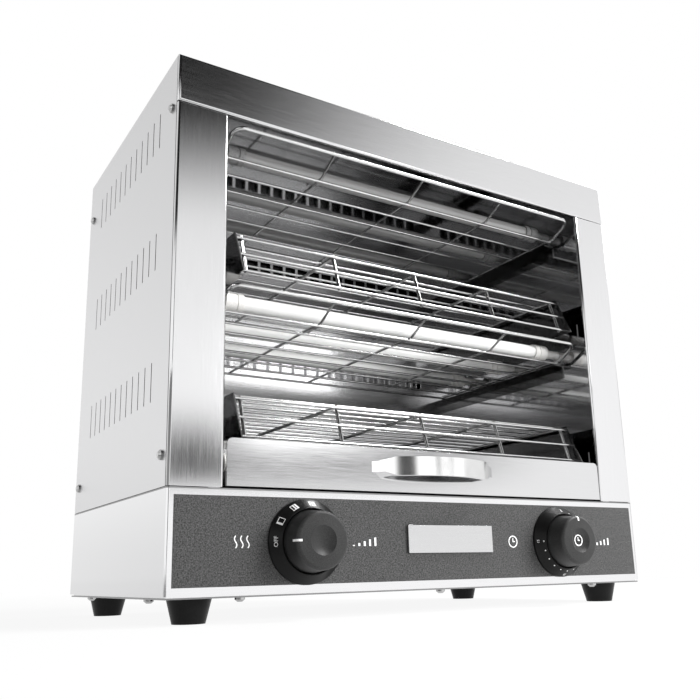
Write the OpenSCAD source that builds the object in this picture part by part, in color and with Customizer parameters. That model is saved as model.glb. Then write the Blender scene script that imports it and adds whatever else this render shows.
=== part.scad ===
// Two-deck salamander grill: quartz tubes over wire racks and a crumb tray, in a sheet steel cabinet.
// The cabinet's front face lies at y = 0 inside in_body(), and the feet stand on z = 0.

/* [Cabinet] */
// Width of the cabinet
body_w = 440; // [430:1:500]
// Depth from the front face to the back panel
body_d = 243; // [236:1:290]
// Height of the base box that holds the controls
base_h = 68.5; // [66:0.5:90]
// Thickness of the outer sheet metal
sheet = 1; // [0.8:0.1:1.2]
// Thickness of the inner reflector sheets, rails and runners
liner = 0.8; // [0.6:0.1:1]
// Height of the header over the mouth
header_h = 38; // [32:1:42]
// Width of each front column
column_w = 39; // [38:0.5:41]
// Width of the wiring space between a side panel and the inner wall
compartment_w = 36.5; // [36:0.5:38]
// Gap between the ceiling reflector and the underside of the top cover
roof_gap = 3.2; // [2:0.1:8]
// Gap between the inner back wall and the back panel
back_gap = 4.2; // [3:0.1:10]

/* [Decks] */
// Height of the lower rack above the deck plate
first_rack_h = 67.5; // [67:0.5:75]
// Height from one deck to the next
level_pitch = 123.2; // [120:0.1:135]
// Height from a rack to the guard above it
deck_gap = 69.2; // [66:0.1:76]
// Height from the upper guard to the ceiling reflector
ceiling_gap = 49.6; // [48:0.1:60]

/* [Folds] */
// Depth of the corner fold that wraps a column onto its side
corner_fold = 2.5; // [2:0.1:4]
// Width of the open seams beside and above the columns
seam_gap = 0.8; // [0.3:0.1:1]
// Outer radius of the folded edges round the front
fold_r = 2; // [1:0.1:2.2]
// Depth of the short folds along the mouth
hem = 3; // [2.5:0.1:5]
// Depth of the hidden flanges that the side panels are screwed to
fix_flange = 20; // [18:1:26]
// Width of the flange round the bottom of the base
base_flange = 12; // [11:1:16]
// Dark joint between the base's walls and its bottom plate
bottom_joint = 1; // [0.6:0.1:1.5]
// Depth of that joint
joint_depth = 2.5; // [2:0.1:3]
// Width of the outward lips of the inner walls and of the ceiling overhang
liner_lip = 8; // [7:1:9]
// Depth of the top cover's side lips
cover_lip = 11; // [8:1:16]

/* [Tubes] */
// Outer diameter of a quartz tube
tube_d = 12; // [10:0.5:13]
// Wall of a quartz tube
tube_wall = 1.5; // [1:0.1:2]
// Distance of the first tube behind the front face
first_tube_y = 42; // [40:1:46]
// Distance from tube to tube
tube_pitch = 62.5; // [58:0.5:66]
// Height of the tubes' centres above the guard below them
tube_rise = 9; // [8.8:0.1:11]
// Diameter of a ceramic cap's collar
cap_d = 14.4; // [14:0.1:16]
// Length of a ceramic cap's collar
cap_l = 15; // [13:0.5:17]
// Depth of the groove round a ceramic cap's collar
cap_groove = 0.6; // [0.3:0.1:0.8]
// Depth of the socket that holds the tube
socket_depth = 9; // [6:0.5:11]
// Diameter of a ceramic cap's neck
neck_d = 8; // [7:0.5:9]
// Distance of the collar from the inner wall
cap_stand = 17.5; // [15:0.5:20]
// Reach of the neck behind the inner wall
neck_reach = 9; // [6:0.5:10]
// Outer diameter of the wound heating core
core_d = 7; // [5:0.5:6.9]
// Diameter of the terminal studs
stud_d = 4; // [3:0.5:5]
// Thickness of the bus bars and of the terminal nuts
bar_t = 1.5; // [1:0.1:2]
// Width of the bus bars
bar_w = 10; // [9:0.5:12]
// Thickness of the terminal nuts
nut_t = 3; // [2.5:0.1:4]
// Width across the corners of the terminal nuts
nut_d = 8; // [7.5:0.5:9]
// Diameter of the insulated leads
lead_d = 3; // [2.5:0.1:3.5]
// Distance between neighbouring leads
lead_pitch = 8; // [7:0.5:9]
// Distance of the first lead behind the last tube
first_lead_gap = 17; // [14:0.5:18]
// Depth of the switch leads below the deck plate
lead_drop = 16; // [14:0.5:20]
// Depth of the supply leads below the terminal block's top
supply_drop = 6; // [5:0.5:7]

/* [Guards] */
// Diameter of the guards' wires
guard_wire_d = 2.2; // [1.8:0.1:2.4]
// Diameter of the guards' bent frame wire
guard_frame_d = 3.2; // [2.6:0.1:3.6]
// Distance of the middle guard's front wire behind the front face
middle_guard_y = 8; // [6:0.5:10]
// Distance of the upper guard's front wire behind the front face
upper_guard_y = 3; // [2.6:0.1:6]
// Length of the guards' sloping front
guard_slope_l = 22; // [20:0.5:28]
// Rise of the front wire over the guard
guard_rise = 10.6; // [6:0.1:12]
// Radius of the guards' front corners
guard_corner_r = 9; // [7:0.5:12]
// Place of the outer cross wires, either side of the middle
guard_cross_x = 88; // [70:1:100]
// Number of long wires behind the slope
guard_wires = 8; // [6:1:10]
// Gap between a guard's rear end and the inner back wall
guard_rear_gap = 26; // [12:1:30]
// Gap between a guard's end wire and the inner wall
guard_gap = 9; // [7:0.5:9.5]
// Width of the rails under the guards
rail_w = 12; // [11.5:0.5:13]
// Distance of the rails behind the front face
rail_front_y = 34; // [30:1:40]

/* [Racks] */
// Diameter of the racks' long wires
rack_wire_d = 2; // [1.6:0.1:2.2]
// Diameter of the racks' bars and fence posts
rack_bar_d = 2.8; // [2.4:0.1:3.2]
// Distance of the racks' front edge behind the front face
rack_front_y = 25; // [24:0.5:28]
// Gap between a rack's rear end and the inner back wall
rack_rear_gap = 12; // [8:1:16]
// Height of the fence that hangs at the front of a rack
fence_h = 33; // [29:0.5:33]
// Distance that the fence leans forward
fence_lean = 10; // [8:0.5:12]
// Distance of the fence's top and bottom wires from the posts' ends
fence_wire_inset = 2; // [1.5:0.1:4]
// Number of long wires on a rack
rack_wires = 13; // [9:1:15]
// Number of bars under the long wires on each side of the middle bar
rack_bars = 2; // [2:1:3]
// Distance of the outermost bar from the end plate
rack_bar_inset = 5.5; // [4:0.5:8]
// Gap between an end plate and the inner wall
rack_gap = 17; // [15:0.5:18]
// Distance of the runners behind the front face
runner_front_y = 12; // [8:1:20]
// Width of the runners under the racks
runner_w = 20; // [19.5:0.5:24]
// Distance of an end plate's top front corner behind the front face
plate_top_y = 20.5; // [18:0.5:21]
// Distance of an end plate's lower front corner behind the front face
plate_low_y = 4; // [3:0.5:8]

/* [Crumb tray] */
// Height of the tray's front plate
tray_front_h = 32.6; // [28:0.2:32.6]
// Radius of the front plate's top corners
tray_corner_r = 4; // [2:0.5:8]
// Gap between the front plate and the columns
tray_front_gap = 2; // [1:0.1:3]
// Height of the skids under the tray, and of the dark joint under its front plate
skid_h = 1.3; // [0.8:0.1:1.3]
// Width of the skids
skid_w = 6; // [4:0.5:10]
// Distance of the skids behind the tray's front
skid_y = 25; // [15:1:40]
// Height of the tray's walls
tray_wall_h = 10; // [8:0.5:11]
// Gap between the tray and the columns
tray_side_gap = 1.5; // [1:0.1:3]
// Gap between the tray's rear wall and the inner back wall
tray_rear_gap = 5; // [3:0.5:10]

/* [Handle] */
// Place of the handle's middle, right of the cabinet's middle
handle_x = -5; // [-10:0.5:10]
// Length of the bow handle
handle_l = 117; // [110:1:140]
// Length of the opening behind the handle
opening_l = 88; // [76:1:92]
// Reach of the bow in front of the tray
bow_reach = 23; // [16:0.5:25]
// Thickness of the handle's strap
strap_t = 4; // [3:0.1:5]
// Height of the strap in the middle
strap_h = 14; // [12:0.5:16]
// Height of the handle's ends
strap_end_h = 8; // [7:0.5:11]
// Length of the strap's middle, before it narrows
strap_mid_l = 86; // [60:1:90]
// Length over which the strap narrows at each end
strap_taper_l = 8; // [4:0.5:9]
// Height of the handle's middle above the tray's lower edge
handle_rise = 19.5; // [16:0.5:20]

/* [Controls] */
// Distance of the heat knob's axis from the left side
heat_inset = 100; // [80:0.5:110]
// Distance of the timer knob's axis from the right side
timer_inset = 97.5; // [80:0.5:110]
// Distance of the knobs' axes below the middle of the base
knob_drop = 0.8; // [0:0.1:3]
// Thickness of the control overlay
overlay_t = 0.5; // [0.3:0.1:1]
// Bright border left round the control overlay
overlay_border = 5; // [4:0.5:8]
// Width of the blank badge plate
badge_w = 82; // [60:1:90]
// Height of the blank badge plate
badge_h = 20.6; // [14:0.2:24]
// Thickness of the blank badge plate
badge_t = 2; // [1:0.1:3]
// Place of the badge plate's middle, right of the cabinet's middle
badge_x = 6.8; // [0:0.2:12]
// Distance of the badge plate's middle above the knobs' axes
badge_rise = 2; // [0:0.5:4]
// Diameter of the dials
dial_d = 58; // [54:0.5:60]
// Height of a dial's rim
dial_h = 9; // [7:0.1:11]
// Thickness of a dial's outer edge
dial_edge = 1.6; // [1:0.1:2]
// Thickness of a dial's floor
dial_floor = 2; // [1.5:0.1:2.5]
// Width of the flat top of a dial's rim
dial_rim_w = 0.5; // [0.4:0.1:1]
// Diameter of the opening that a grip turns in
dial_hole = 44.6; // [44:0.1:47]
// Diameter of a grip at its foot
grip_foot_d = 43.4; // [42:0.1:43.5]
// Diameter of a grip at its face
grip_face_d = 39.6; // [38:0.1:41]
// Length of a grip
grip_l = 23; // [22:0.5:30]
// Rise of a grip's face from its edge to the dimple
grip_crown = 0.8; // [0.4:0.1:1.2]
// Radius of the round edge of a grip's face
grip_edge_r = 3; // [2:0.1:4]
// Diameter of the dimple in a grip's face
dimple_d = 20; // [16:0.5:22]
// Depth of the dimple
dimple_depth = 3.5; // [2:0.1:4]
// Width of the pointer inlays
pointer_w = 1.5; // [1:0.1:2]
// Length of the pointer inlays on the face
pointer_l = 4; // [3:0.5:6]
// Depth of the pointer inlays along the grip
pointer_depth = 6.5; // [6:0.5:10]
// Material left between a shaft's end and the dimple
shaft_cover = 3; // [2:0.5:5]
// Diameter of the control shafts
shaft_d = 6; // [5:0.5:6.5]
// Diameter of the threaded bushes on the switch and the timer
bush_d = 10; // [9:0.5:11]
// Width across the corners of the bush nuts
bush_nut_d = 16; // [14:0.5:18]
// Thickness of the bush nuts
bush_nut_t = 2.5; // [2:0.1:3]
// Width and height of the rotary switch
switch_w = 42; // [36:1:48]
// Depth of the rotary switch
switch_d = 30; // [24:1:36]
// Width and height of the timer
timer_w = 50; // [44:1:56]
// Depth of the timer
timer_d = 36; // [30:1:42]

/* [Vents] */
// Number of slits in a row on a side panel
side_slits = 12; // [8:1:12]
// Number of slits in a row on the back panel
back_slits = 20; // [12:1:24]
// Distance from slit to slit
slit_pitch = 14.8; // [12:0.1:15]
// Length of a slit
slit_l = 28.5; // [20:0.5:34]
// Width of a slit
slit_w = 1.4; // [1:0.1:3]
// Distance of the first slit behind the front face
first_slit_y = 39.5; // [36:0.5:42]
// Height of the lowest row's middle above the deck plate
first_slit_h = 76; // [60:1:80]
// Height from row to row
slit_row_pitch = 97.7; // [80:0.1:100]
// Height of the back panel's slits above the side panels' slits
back_slit_rise = 26; // [24:1:28]
// Length of the vents in the bottom plate
vent_l = 60; // [40:1:80]
// Width of the vents in the bottom plate
vent_w = 4; // [2:0.5:6]
// Distance from vent to vent in the bottom plate
vent_pitch = 12; // [8:1:14]
// Width of a window in the inner back wall
window_w = 12; // [9:0.5:13]
// Height of a window in the inner back wall
window_h = 14.5; // [10:0.5:18]
// Width of the bars between the windows
window_bar = 3; // [2:0.1:4]
// Height of the lowest windows' middle above the deck plate
first_window_h = 50.8; // [46:0.1:60]
// Height from one row of windows to the next
window_row_pitch = 106.1; // [100:0.1:110]

/* [Feet and fasteners] */
// Height of the feet
foot_h = 16; // [14:0.5:30]
// Diameter of a foot at its top
foot_top_d = 30; // [28:0.5:36]
// Diameter of a foot at its bottom
foot_low_d = 22; // [20:0.5:26]
// Distance of a foot's middle from the sides
foot_inset_x = 26; // [26:1:40]
// Distance of a foot's middle from the front and the back
foot_inset_y = 25; // [22:1:40]
// Diameter of the screws that hold the feet
foot_screw_d = 5; // [4:0.5:6]
// Diameter of the foot screws' heads
foot_head_d = 10; // [9:0.5:11]
// Height of the foot screws' heads
foot_head_h = 3; // [2.5:0.1:4]
// Reach of all screws behind the sheet they hold
screw_reach = 4; // [3.5:0.5:6]
// Diameter of the sheet metal screws
screw_d = 3; // [2.5:0.1:3.5]
// Diameter of the sheet metal screws' heads
screw_head_d = 7; // [6:0.5:7.5]
// Height of the sheet metal screws' heads
screw_head_h = 2.8; // [2:0.1:3]
// Distance of the side screws from the front and the back
side_screw_y = 12; // [10:0.5:15]
// Height of the lower side screws above the deck plate
side_screw_h = 21.5; // [16:0.5:30]
// Distance of the upper side screws below the header
side_screw_drop = 1; // [0:0.5:3]
// Height of the columns' tabs behind the header
column_tab_h = 8; // [6:0.5:12]
// Distance of the bottom screws from the edges
bottom_screw_edge = 6.5; // [6:0.1:7]
// Distance of the outer bottom screws from the sides
bottom_screw_inset = 54; // [50:1:100]
// Distance of the side rows' bottom screws from the front and the back
bottom_screw_y = 48; // [46:1:80]

/* [Power inlet] */
// Distance of the inlet's axis from the side
inlet_inset = 70; // [60:1:90]
// Outer diameter of the inlet's flange
inlet_d = 20; // [17:0.5:24]
// Reach of the inlet behind the back
inlet_reach = 6; // [4:0.5:10]
// Diameter of the inlet's shank
inlet_shank_d = 14; // [12:0.5:16]
// Diameter of the inlet's bore
inlet_bore_d = 8.4; // [7:0.1:9]
// Width of the terminal block
block_w = 44; // [36:1:52]
// Depth of the terminal block
block_d = 22; // [18:1:24]
// Height of the terminal block
block_h = 26; // [24:1:30]
// Gap between the terminal block and the back of the base
block_gap = 14; // [12:1:16]
// Width and depth of the grooves on the terminal block
block_groove = 3; // [2:0.5:4]
// Reach of the inlet's shank inside the base
inlet_inner = 4; // [3:0.5:6]

/* [Clearances] */
// Gap under sliding pieces and behind the turning grips
run_gap = 0.3; // [0.2:0.05:0.5]
// Radial gap round a turning shaft
shaft_gap = 0.05; // [0.02:0.01:0.1]
// Gap between pieces that are pushed together
seat_gap = 0.1; // [0.05:0.01:0.2]
// Radial gap round a screw, stud, bush or neck
hole_gap = 0.2; // [0.1:0.05:0.3]
// Width of the ball in a wire's bend, against the wire's own diameter
bend_swell = 1.04; // [1.02:0.01:1.06]
// Depth that crossing wires melt into each other where they are welded
weld = 0.4; // [0.3:0.05:0.5]

/* [Hidden] */
$fn = 48;

// Heights
floor_z = foot_h + sheet;
base_z = floor_z + bottom_joint;
deck_z = base_z + base_h;
rack_z = [for (level = [0 : 1]) deck_z + first_rack_h + level * level_pitch];
guard_z = [for (z = rack_z) z + deck_gap];
ceiling_z = guard_z[1] + ceiling_gap;
top_z = ceiling_z + liner + roof_gap + sheet;
header_z = top_z - header_h;
bank_z = [for (bank = [0 : 2]) guard_z[0] + tube_rise + (bank - 1) * level_pitch];
knob_z = base_z + base_h / 2 - knob_drop;
tray_z = deck_z + run_gap;
pan_z = tray_z + skid_h;

// Places across and along
half_w = body_w / 2;
mouth_x = half_w - column_w;
wall_x = half_w - compartment_w;
heat_x = heat_inset - half_w;
timer_x = half_w - timer_inset;
inlet_x = half_w - inlet_inset;
bottom_screw_x = half_w - bottom_screw_inset;
back_wall_y = body_d - sheet - back_gap - liner;
panel_y = corner_fold + seam_gap;
tube_y = [for (i = [0 : 2]) first_tube_y + i * tube_pitch];
collar_x = [wall_x - cap_stand - cap_l, wall_x - cap_stand];
tube_end_x = collar_x[0] + socket_depth;
neck_end_x = wall_x + liner + neck_reach;
bar_x = [neck_end_x, neck_end_x + bar_t];
nut_x = [bar_x[1], bar_x[1] + nut_t];
guard_x = wall_x - guard_gap;
guard_drop = guard_wire_d - weld;
guard_end_y = back_wall_y - guard_rear_gap;
rack_x = wall_x - rack_gap;
rack_back_y = back_wall_y - rack_rear_gap;
rack_bar_x = rack_x - sheet - rack_bar_inset;
wire_rise = (rack_bar_d + rack_wire_d) / 2 - weld;
tray_x = mouth_x - tray_side_gap;
tray_back_y = back_wall_y - tray_rear_gap;

// Rails under the guards and runners under the racks
rail_z = [for (z = guard_z) z - guard_drop - guard_wire_d / 2 - seat_gap];
runner_z = [for (z = rack_z) z - fence_h - run_gap];
rail_y = [rail_front_y, back_wall_y];
runner_y = [runner_front_y, back_wall_y];

// Controls, counted forward from the front face
dial_front = overlay_t + dial_floor;
grip_back = dial_front + run_gap;
grip_front = grip_back + grip_l;
bush_front = dial_front + bush_nut_t + run_gap;
grip_hollow = bush_front - grip_back + run_gap;
shaft_front = grip_front - dimple_depth - shaft_cover;
shaft_back = sheet + switch_d / 2;
bush_hole_d = bush_d + 2 * hole_gap;

// Leads
last_tube_y = tube_y[2];
lead_y = [for (bank = [0 : 2]) last_tube_y + first_lead_gap + bank * lead_pitch];
lead_x = bar_x[1] + lead_d / 2 + seat_gap;
link_y = last_tube_y - tube_pitch / 2;
lead_run_z = deck_z - lead_drop;
link_run_z = base_z + block_h - supply_drop;
block_y = body_d - sheet - block_d - block_gap;

// Middle of the whole part along Y, from the grips' faces to the inlet
front_y = -(body_d + inlet_reach - grip_front) / 2;

// Places of repeated fasteners
foot_places = [
    for (x = [-1, 1]) for (y = [foot_inset_y, body_d - foot_inset_y]) [x * (half_w - foot_inset_x), y]
];
bottom_screw_places = concat(
    [for (x = [-1 : 1]) for (y = [bottom_screw_edge, body_d - bottom_screw_edge]) [x * bottom_screw_x, y]],
    [for (x = [-1, 1]) for (y = [bottom_screw_y, body_d - bottom_screw_y]) [x * (half_w - bottom_screw_edge), y]]
);
side_screw_places = [
    for (y = [side_screw_y, body_d - side_screw_y])
        for (z = [deck_z + side_screw_h, header_z - side_screw_drop]) [y, z]
];

// Pair of limits round a middle
function span(middle, wide) = [middle - wide / 2, middle + wide / 2];

// Puts the cabinet's front face at y = 0 for what is drawn inside
module in_body() {
    translate([0, front_y, 0]) children();
}

// Draws a piece on both sides of the cabinet
module both_sides() {
    children();
    mirror([1, 0, 0]) children();
}

// Box between pairs of limits
module slab(x, y, z) {
    translate([x[0], y[0], z[0]]) cube([x[1] - x[0], y[1] - y[0], z[1] - z[0]]);
}

// Outline along a pair of limits, with its two front corners rounded as folded sheet is
module folded_outline(along, deep) {
    straight = [along[0] + fold_r, along[1] - fold_r];
    for (place = straight) translate([place, fold_r]) circle(r = fold_r);
    translate([straight[0], 0]) square([straight[1] - straight[0], 2 * fold_r]);
    translate([along[0], fold_r]) square([along[1] - along[0], deep - fold_r]);
}

// Space of the whole cabinet, with its two upright front edges rounded
module cabinet_space() {
    linear_extrude(top_z) folded_outline([-half_w, half_w], body_d);
}

// Round bar along X, Y or Z between a pair of limits
module bar_along_x(x, y, z, d) {
    translate([x[0], y, z]) rotate([0, 90, 0]) cylinder(d = d, h = x[1] - x[0]);
}

module bar_along_y(x, y, z, d) {
    translate([x, y[0], z]) rotate([-90, 0, 0]) cylinder(d = d, h = y[1] - y[0]);
}

module bar_along_z(x, y, z, d) {
    translate([x, y, z[0]]) cylinder(d = d, h = z[1] - z[0]);
}

// Round wire from point to point, with a ball a little wider than the wire in each bend
module rod(a, b, d) {
    run = b - a;
    length = norm(run);
    translate(a) rotate([0, acos(run.z / length), atan2(run.y, run.x)]) cylinder(d = d, h = length);
}

module wire(points, d) {
    for (i = [0 : len(points) - 2]) rod(points[i], points[i + 1], d);
    for (i = [1 : len(points) - 2]) translate(points[i]) sphere(d = d * bend_swell);
}

// Screw along +Z with its head above the origin
module screw(head_d, head_h, shank_d, shank_l) {
    cylinder(d = head_d, h = head_h / 2);
    translate([0, 0, head_h / 2]) cylinder(d1 = head_d, d2 = head_d / 2, h = head_h / 2);
    translate([0, 0, -shank_l]) cylinder(d = shank_d, h = shank_l);
}

// What is drawn along +Z points forward out of the control panel
module on_panel(x) {
    translate([x, 0, knob_z]) rotate([90, 0, 0]) children();
}

// Slits in rows, centred on a line of places
module slit_rows(places, along_x, first_h) {
    size = along_x ? [slit_w, 4 * sheet, slit_l] : [4 * sheet, slit_w, slit_l];
    for (row = [0 : 2])
        for (place = places)
            translate([place.x, place.y, deck_z + first_h + row * slit_row_pitch])
                cube(size, center = true);
}

// Holes for the side screws, right through a panel and its flange
module side_screw_holes() {
    for (place = side_screw_places)
        bar_along_x([half_w - 4 * sheet, half_w + sheet], place.x, place.y, screw_d + 2 * hole_gap);
}

// Base
module base_shell() {
    inner_x = half_w - sheet;
    inner_y = [sheet, body_d - sheet];
    flange_x = half_w - base_flange;
    joint_x = half_w - joint_depth;
    color("gainsboro") in_body() difference() {
        union() {
            intersection() {
                slab([-half_w, half_w], [0, body_d], [base_z, deck_z - sheet]);
                cabinet_space();
            }
            slab([-joint_x, joint_x], [joint_depth, body_d - joint_depth], [floor_z, base_z + sheet]);
        }
        slab([-inner_x, inner_x], inner_y, [base_z + sheet, deck_z]);
        slab([-flange_x, flange_x], [base_flange, body_d - base_flange], [foot_h, deck_z]);
        for (x = [heat_x, timer_x]) bar_along_y(x, [-sheet, 2 * sheet], knob_z, bush_hole_d);
        bar_along_y(inlet_x, [body_d - 2 * sheet, body_d + sheet], knob_z, inlet_shank_d + 2 * hole_gap);
        for (place = bottom_screw_places)
            bar_along_z(place.x, place.y, [foot_h, base_z + 2 * sheet], screw_d + 2 * hole_gap);
    }
}

module base_bottom() {
    edge = sheet;
    cut_z = [foot_h - sheet, floor_z + sheet];
    color("silver") in_body() difference() {
        slab([edge - half_w, half_w - edge], [edge, body_d - edge], [foot_h, floor_z]);
        for (place = foot_places) bar_along_z(place.x, place.y, cut_z, foot_screw_d + 2 * hole_gap);
        for (place = bottom_screw_places) bar_along_z(place.x, place.y, cut_z, screw_d + 2 * hole_gap);
        for (i = [-2 : 2])
            translate([0, body_d / 2 + i * vent_pitch, floor_z])
                cube([vent_l, vent_w, 4 * sheet], center = true);
    }
}

module deck_plate() {
    cut_z = [deck_z - 2 * sheet, deck_z + sheet];
    color("silver") in_body() difference() {
        intersection() {
            slab([-half_w, half_w], [0, body_d], [deck_z - sheet, deck_z]);
            cabinet_space();
        }
        for (y = lead_y) bar_along_z(lead_x, y, cut_z, lead_d + 2 * hole_gap);
        bar_along_z(-lead_x, link_y, cut_z, lead_d + 2 * hole_gap);
    }
}

module feet() {
    recess_d = foot_head_d + 10 * hole_gap;
    color("dimgray") in_body()
        for (place = foot_places)
            translate([place.x, place.y, 0]) difference() {
                cylinder(d1 = foot_low_d, d2 = foot_top_d, h = foot_h);
                translate([0, 0, -1]) cylinder(d = recess_d, h = foot_h / 2 + 1);
                cylinder(d = foot_screw_d + 2 * hole_gap, h = foot_h + 1);
            }
}

module foot_screws() {
    color("gray") in_body()
        for (place = foot_places)
            translate([place.x, place.y, foot_h / 2]) mirror([0, 0, 1])
                screw(foot_head_d, foot_head_h, foot_screw_d, foot_h / 2 + screw_reach);
}

module bottom_screws() {
    color("gray") in_body()
        for (place = bottom_screw_places)
            translate([place.x, place.y, foot_h]) mirror([0, 0, 1])
                screw(screw_head_d, screw_head_h, screw_d, screw_reach);
}

// Outer cabinet
module column() {
    z = [deck_z + seam_gap / 2, header_z - seam_gap];
    flange_x = [half_w - 2 * sheet, half_w - sheet];
    difference() {
        intersection() {
            union() {
                slab([mouth_x, half_w], [0, sheet], z);
                slab([half_w - sheet, half_w], [0, corner_fold], z);
                slab(flange_x, [0, fix_flange], z);
                slab(flange_x, [panel_y, fix_flange], [z[0], header_z + column_tab_h]);
                slab([mouth_x, mouth_x + sheet], [0, hem], z);
            }
            linear_extrude(top_z) folded_outline([mouth_x, half_w], fix_flange);
        }
        side_screw_holes();
    }
}

module right_column() {
    color("lightgray") in_body() column();
}

module left_column() {
    color("lightgray") in_body() mirror([1, 0, 0]) column();
}

module side_panel() {
    difference() {
        slab([half_w - sheet, half_w], [panel_y, body_d], [deck_z + seam_gap / 2, top_z - sheet]);
        slit_rows([for (i = [0 : side_slits - 1]) [half_w, first_slit_y + i * slit_pitch]], false, first_slit_h);
        side_screw_holes();
    }
}

module right_side_panel() {
    color("whitesmoke") in_body() side_panel();
}

module left_side_panel() {
    color("whitesmoke") in_body() mirror([1, 0, 0]) side_panel();
}

module back_panel() {
    panel_x = half_w - sheet;
    color("gainsboro") in_body() difference() {
        union() {
            slab([-panel_x, panel_x], [body_d - sheet, body_d], [deck_z, top_z - sheet]);
            both_sides()
                slab([panel_x - sheet, panel_x], [body_d - fix_flange, body_d], [deck_z, top_z - sheet]);
        }
        slit_rows(
            [for (i = [0 : back_slits - 1]) [(i - (back_slits - 1) / 2) * slit_pitch, body_d]], true,
            first_slit_h + back_slit_rise
        );
        both_sides() side_screw_holes();
    }
}

module top_cover() {
    lip_x = half_w - sheet;
    lip_y = [fix_flange, body_d - fix_flange - sheet];
    color("lightgray") in_body() intersection() {
        union() {
            slab([-half_w, half_w], [0, body_d], [top_z - sheet, top_z]);
            slab([-half_w, half_w], [0, sheet], [header_z, top_z]);
            slab([-mouth_x, mouth_x], [0, hem], [header_z, header_z + sheet]);
            both_sides() {
                slab([lip_x, half_w], [0, corner_fold], [header_z, top_z]);
                slab([lip_x - sheet, lip_x], lip_y, [top_z - cover_lip, top_z]);
            }
        }
        cabinet_space();
        rotate([0, -90, 0]) linear_extrude(body_w, center = true) folded_outline([header_z, top_z], body_d);
    }
}

module side_screws() {
    color("gray") in_body() both_sides()
        for (place = side_screw_places)
            translate([half_w, place.x, place.y]) rotate([0, 90, 0])
                screw(screw_head_d, screw_head_h, screw_d, screw_reach);
}

// Reflectors
module inner_wall() {
    lip_x = [wall_x, wall_x + liner_lip];
    wall_y = [sheet, back_wall_y];
    difference() {
        union() {
            slab([wall_x, wall_x + liner], wall_y, [deck_z, ceiling_z]);
            slab(lip_x, [sheet, sheet + liner], [deck_z, header_z - seam_gap]);
            slab(lip_x, wall_y, [deck_z, deck_z + liner]);
        }
        for (z = bank_z)
            for (y = tube_y) bar_along_x([wall_x - 1, wall_x + 2 * liner], y, z, neck_d + 2 * hole_gap);
    }
}

module right_inner_wall() {
    color("silver") in_body() inner_wall();
}

module left_inner_wall() {
    color("silver") in_body() mirror([1, 0, 0]) inner_wall();
}

module inner_back_wall() {
    step = window_w + window_bar;
    count = floor((2 * wall_x - 2 * window_w) / step);
    wide = wall_x + liner_lip;
    color("silver") in_body() difference() {
        slab([-wide, wide], [back_wall_y, back_wall_y + liner], [deck_z, ceiling_z]);
        for (row = [0 : 2])
            for (i = [0 : count - 1])
                translate([
                    (i - (count - 1) / 2) * step, back_wall_y,
                    deck_z + first_window_h + row * window_row_pitch
                ]) cube([window_w, 4 * liner, window_h], center = true);
    }
}

module ceiling_reflector() {
    wide = wall_x + liner_lip;
    color("silver") in_body()
        slab([-wide, wide], [sheet, back_wall_y + liner], [ceiling_z, ceiling_z + liner]);
}

// Rails, runners and guards
module guard_rails() {
    color("dimgray") in_body() both_sides()
        for (z = rail_z) {
            slab([wall_x - rail_w, wall_x], rail_y, [z - liner, z]);
            slab([wall_x - liner, wall_x], rail_y, [z - rail_w, z]);
        }
}

module rack_runners() {
    color("dimgray") in_body() both_sides()
        for (z = runner_z) {
            slab([wall_x - runner_w, wall_x], runner_y, [z - liner, z]);
            slab([wall_x - liner, wall_x], runner_y, [z - liner, z + rail_w]);
        }
}

// Guard drawn with its bend line on the X axis and its flat part behind it
module guard(flat_l) {
    first_y = 1.5 * guard_wire_d;
    step = (flat_l - first_y - guard_wire_d) / (guard_wires - 1);
    slope = atan(guard_rise / guard_slope_l);
    slope_l = norm([guard_slope_l, guard_rise]);
    side_l = slope_l - guard_corner_r;
    front_x = guard_x - guard_corner_r;
    rotate([-slope, 0, 0]) {
        both_sides() {
            bar_along_y(guard_x, [-side_l, 0], 0, guard_frame_d);
            translate([front_x, -side_l, 0]) rotate([0, 0, -90]) rotate_extrude(angle = 90)
                translate([guard_corner_r, 0]) circle(d = guard_frame_d);
        }
        bar_along_x([-front_x, front_x], -slope_l, 0, guard_frame_d);
        for (x = [-guard_cross_x, 0, guard_cross_x]) bar_along_y(x, [-slope_l, 0], 0, guard_wire_d);
    }
    both_sides() {
        bar_along_y(guard_x, [0, flat_l], 0, guard_frame_d);
        translate([guard_x, 0, 0]) sphere(d = guard_frame_d * bend_swell);
    }
    for (x = [-guard_cross_x, 0, guard_cross_x]) {
        bar_along_y(x, [0, flat_l], 0, guard_wire_d);
        translate([x, 0, 0]) sphere(d = guard_wire_d * bend_swell);
    }
    for (i = [0 : guard_wires - 1])
        bar_along_x([-guard_x, guard_x], first_y + i * step, -guard_drop, guard_wire_d);
}

module placed_guard(y, z) {
    bend_y = y + guard_slope_l;
    in_body() translate([0, bend_y, z]) guard(guard_end_y - bend_y);
}

module upper_guard() {
    color("lightgray") placed_guard(upper_guard_y, guard_z[1]);
}

module middle_guard() {
    color("lightgray") placed_guard(middle_guard_y, guard_z[0]);
}

// Heating elements
module tubes(z) {
    color("ivory") in_body()
        for (y = tube_y) difference() {
            bar_along_x([-tube_end_x, tube_end_x], y, z, tube_d);
            bar_along_x([-tube_end_x - 1, tube_end_x + 1], y, z, tube_d - 2 * tube_wall);
        }
}

module tube_caps(z) {
    groove_x = collar_x[0] + cap_l / 3;
    color("linen") in_body() both_sides()
        for (y = tube_y) difference() {
            union() {
                bar_along_x([collar_x[0], groove_x], y, z, cap_d);
                bar_along_x(collar_x, y, z, cap_d - 2 * cap_groove);
                bar_along_x([groove_x + 2 * cap_groove, collar_x[1]], y, z, cap_d);
                bar_along_x([collar_x[1], neck_end_x], y, z, neck_d);
            }
            bar_along_x([collar_x[0] - 1, tube_end_x], y, z, tube_d + 2 * seat_gap);
            bar_along_x([tube_end_x - 1, neck_end_x + 1], y, z, stud_d + 2 * seat_gap);
        }
}

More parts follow.
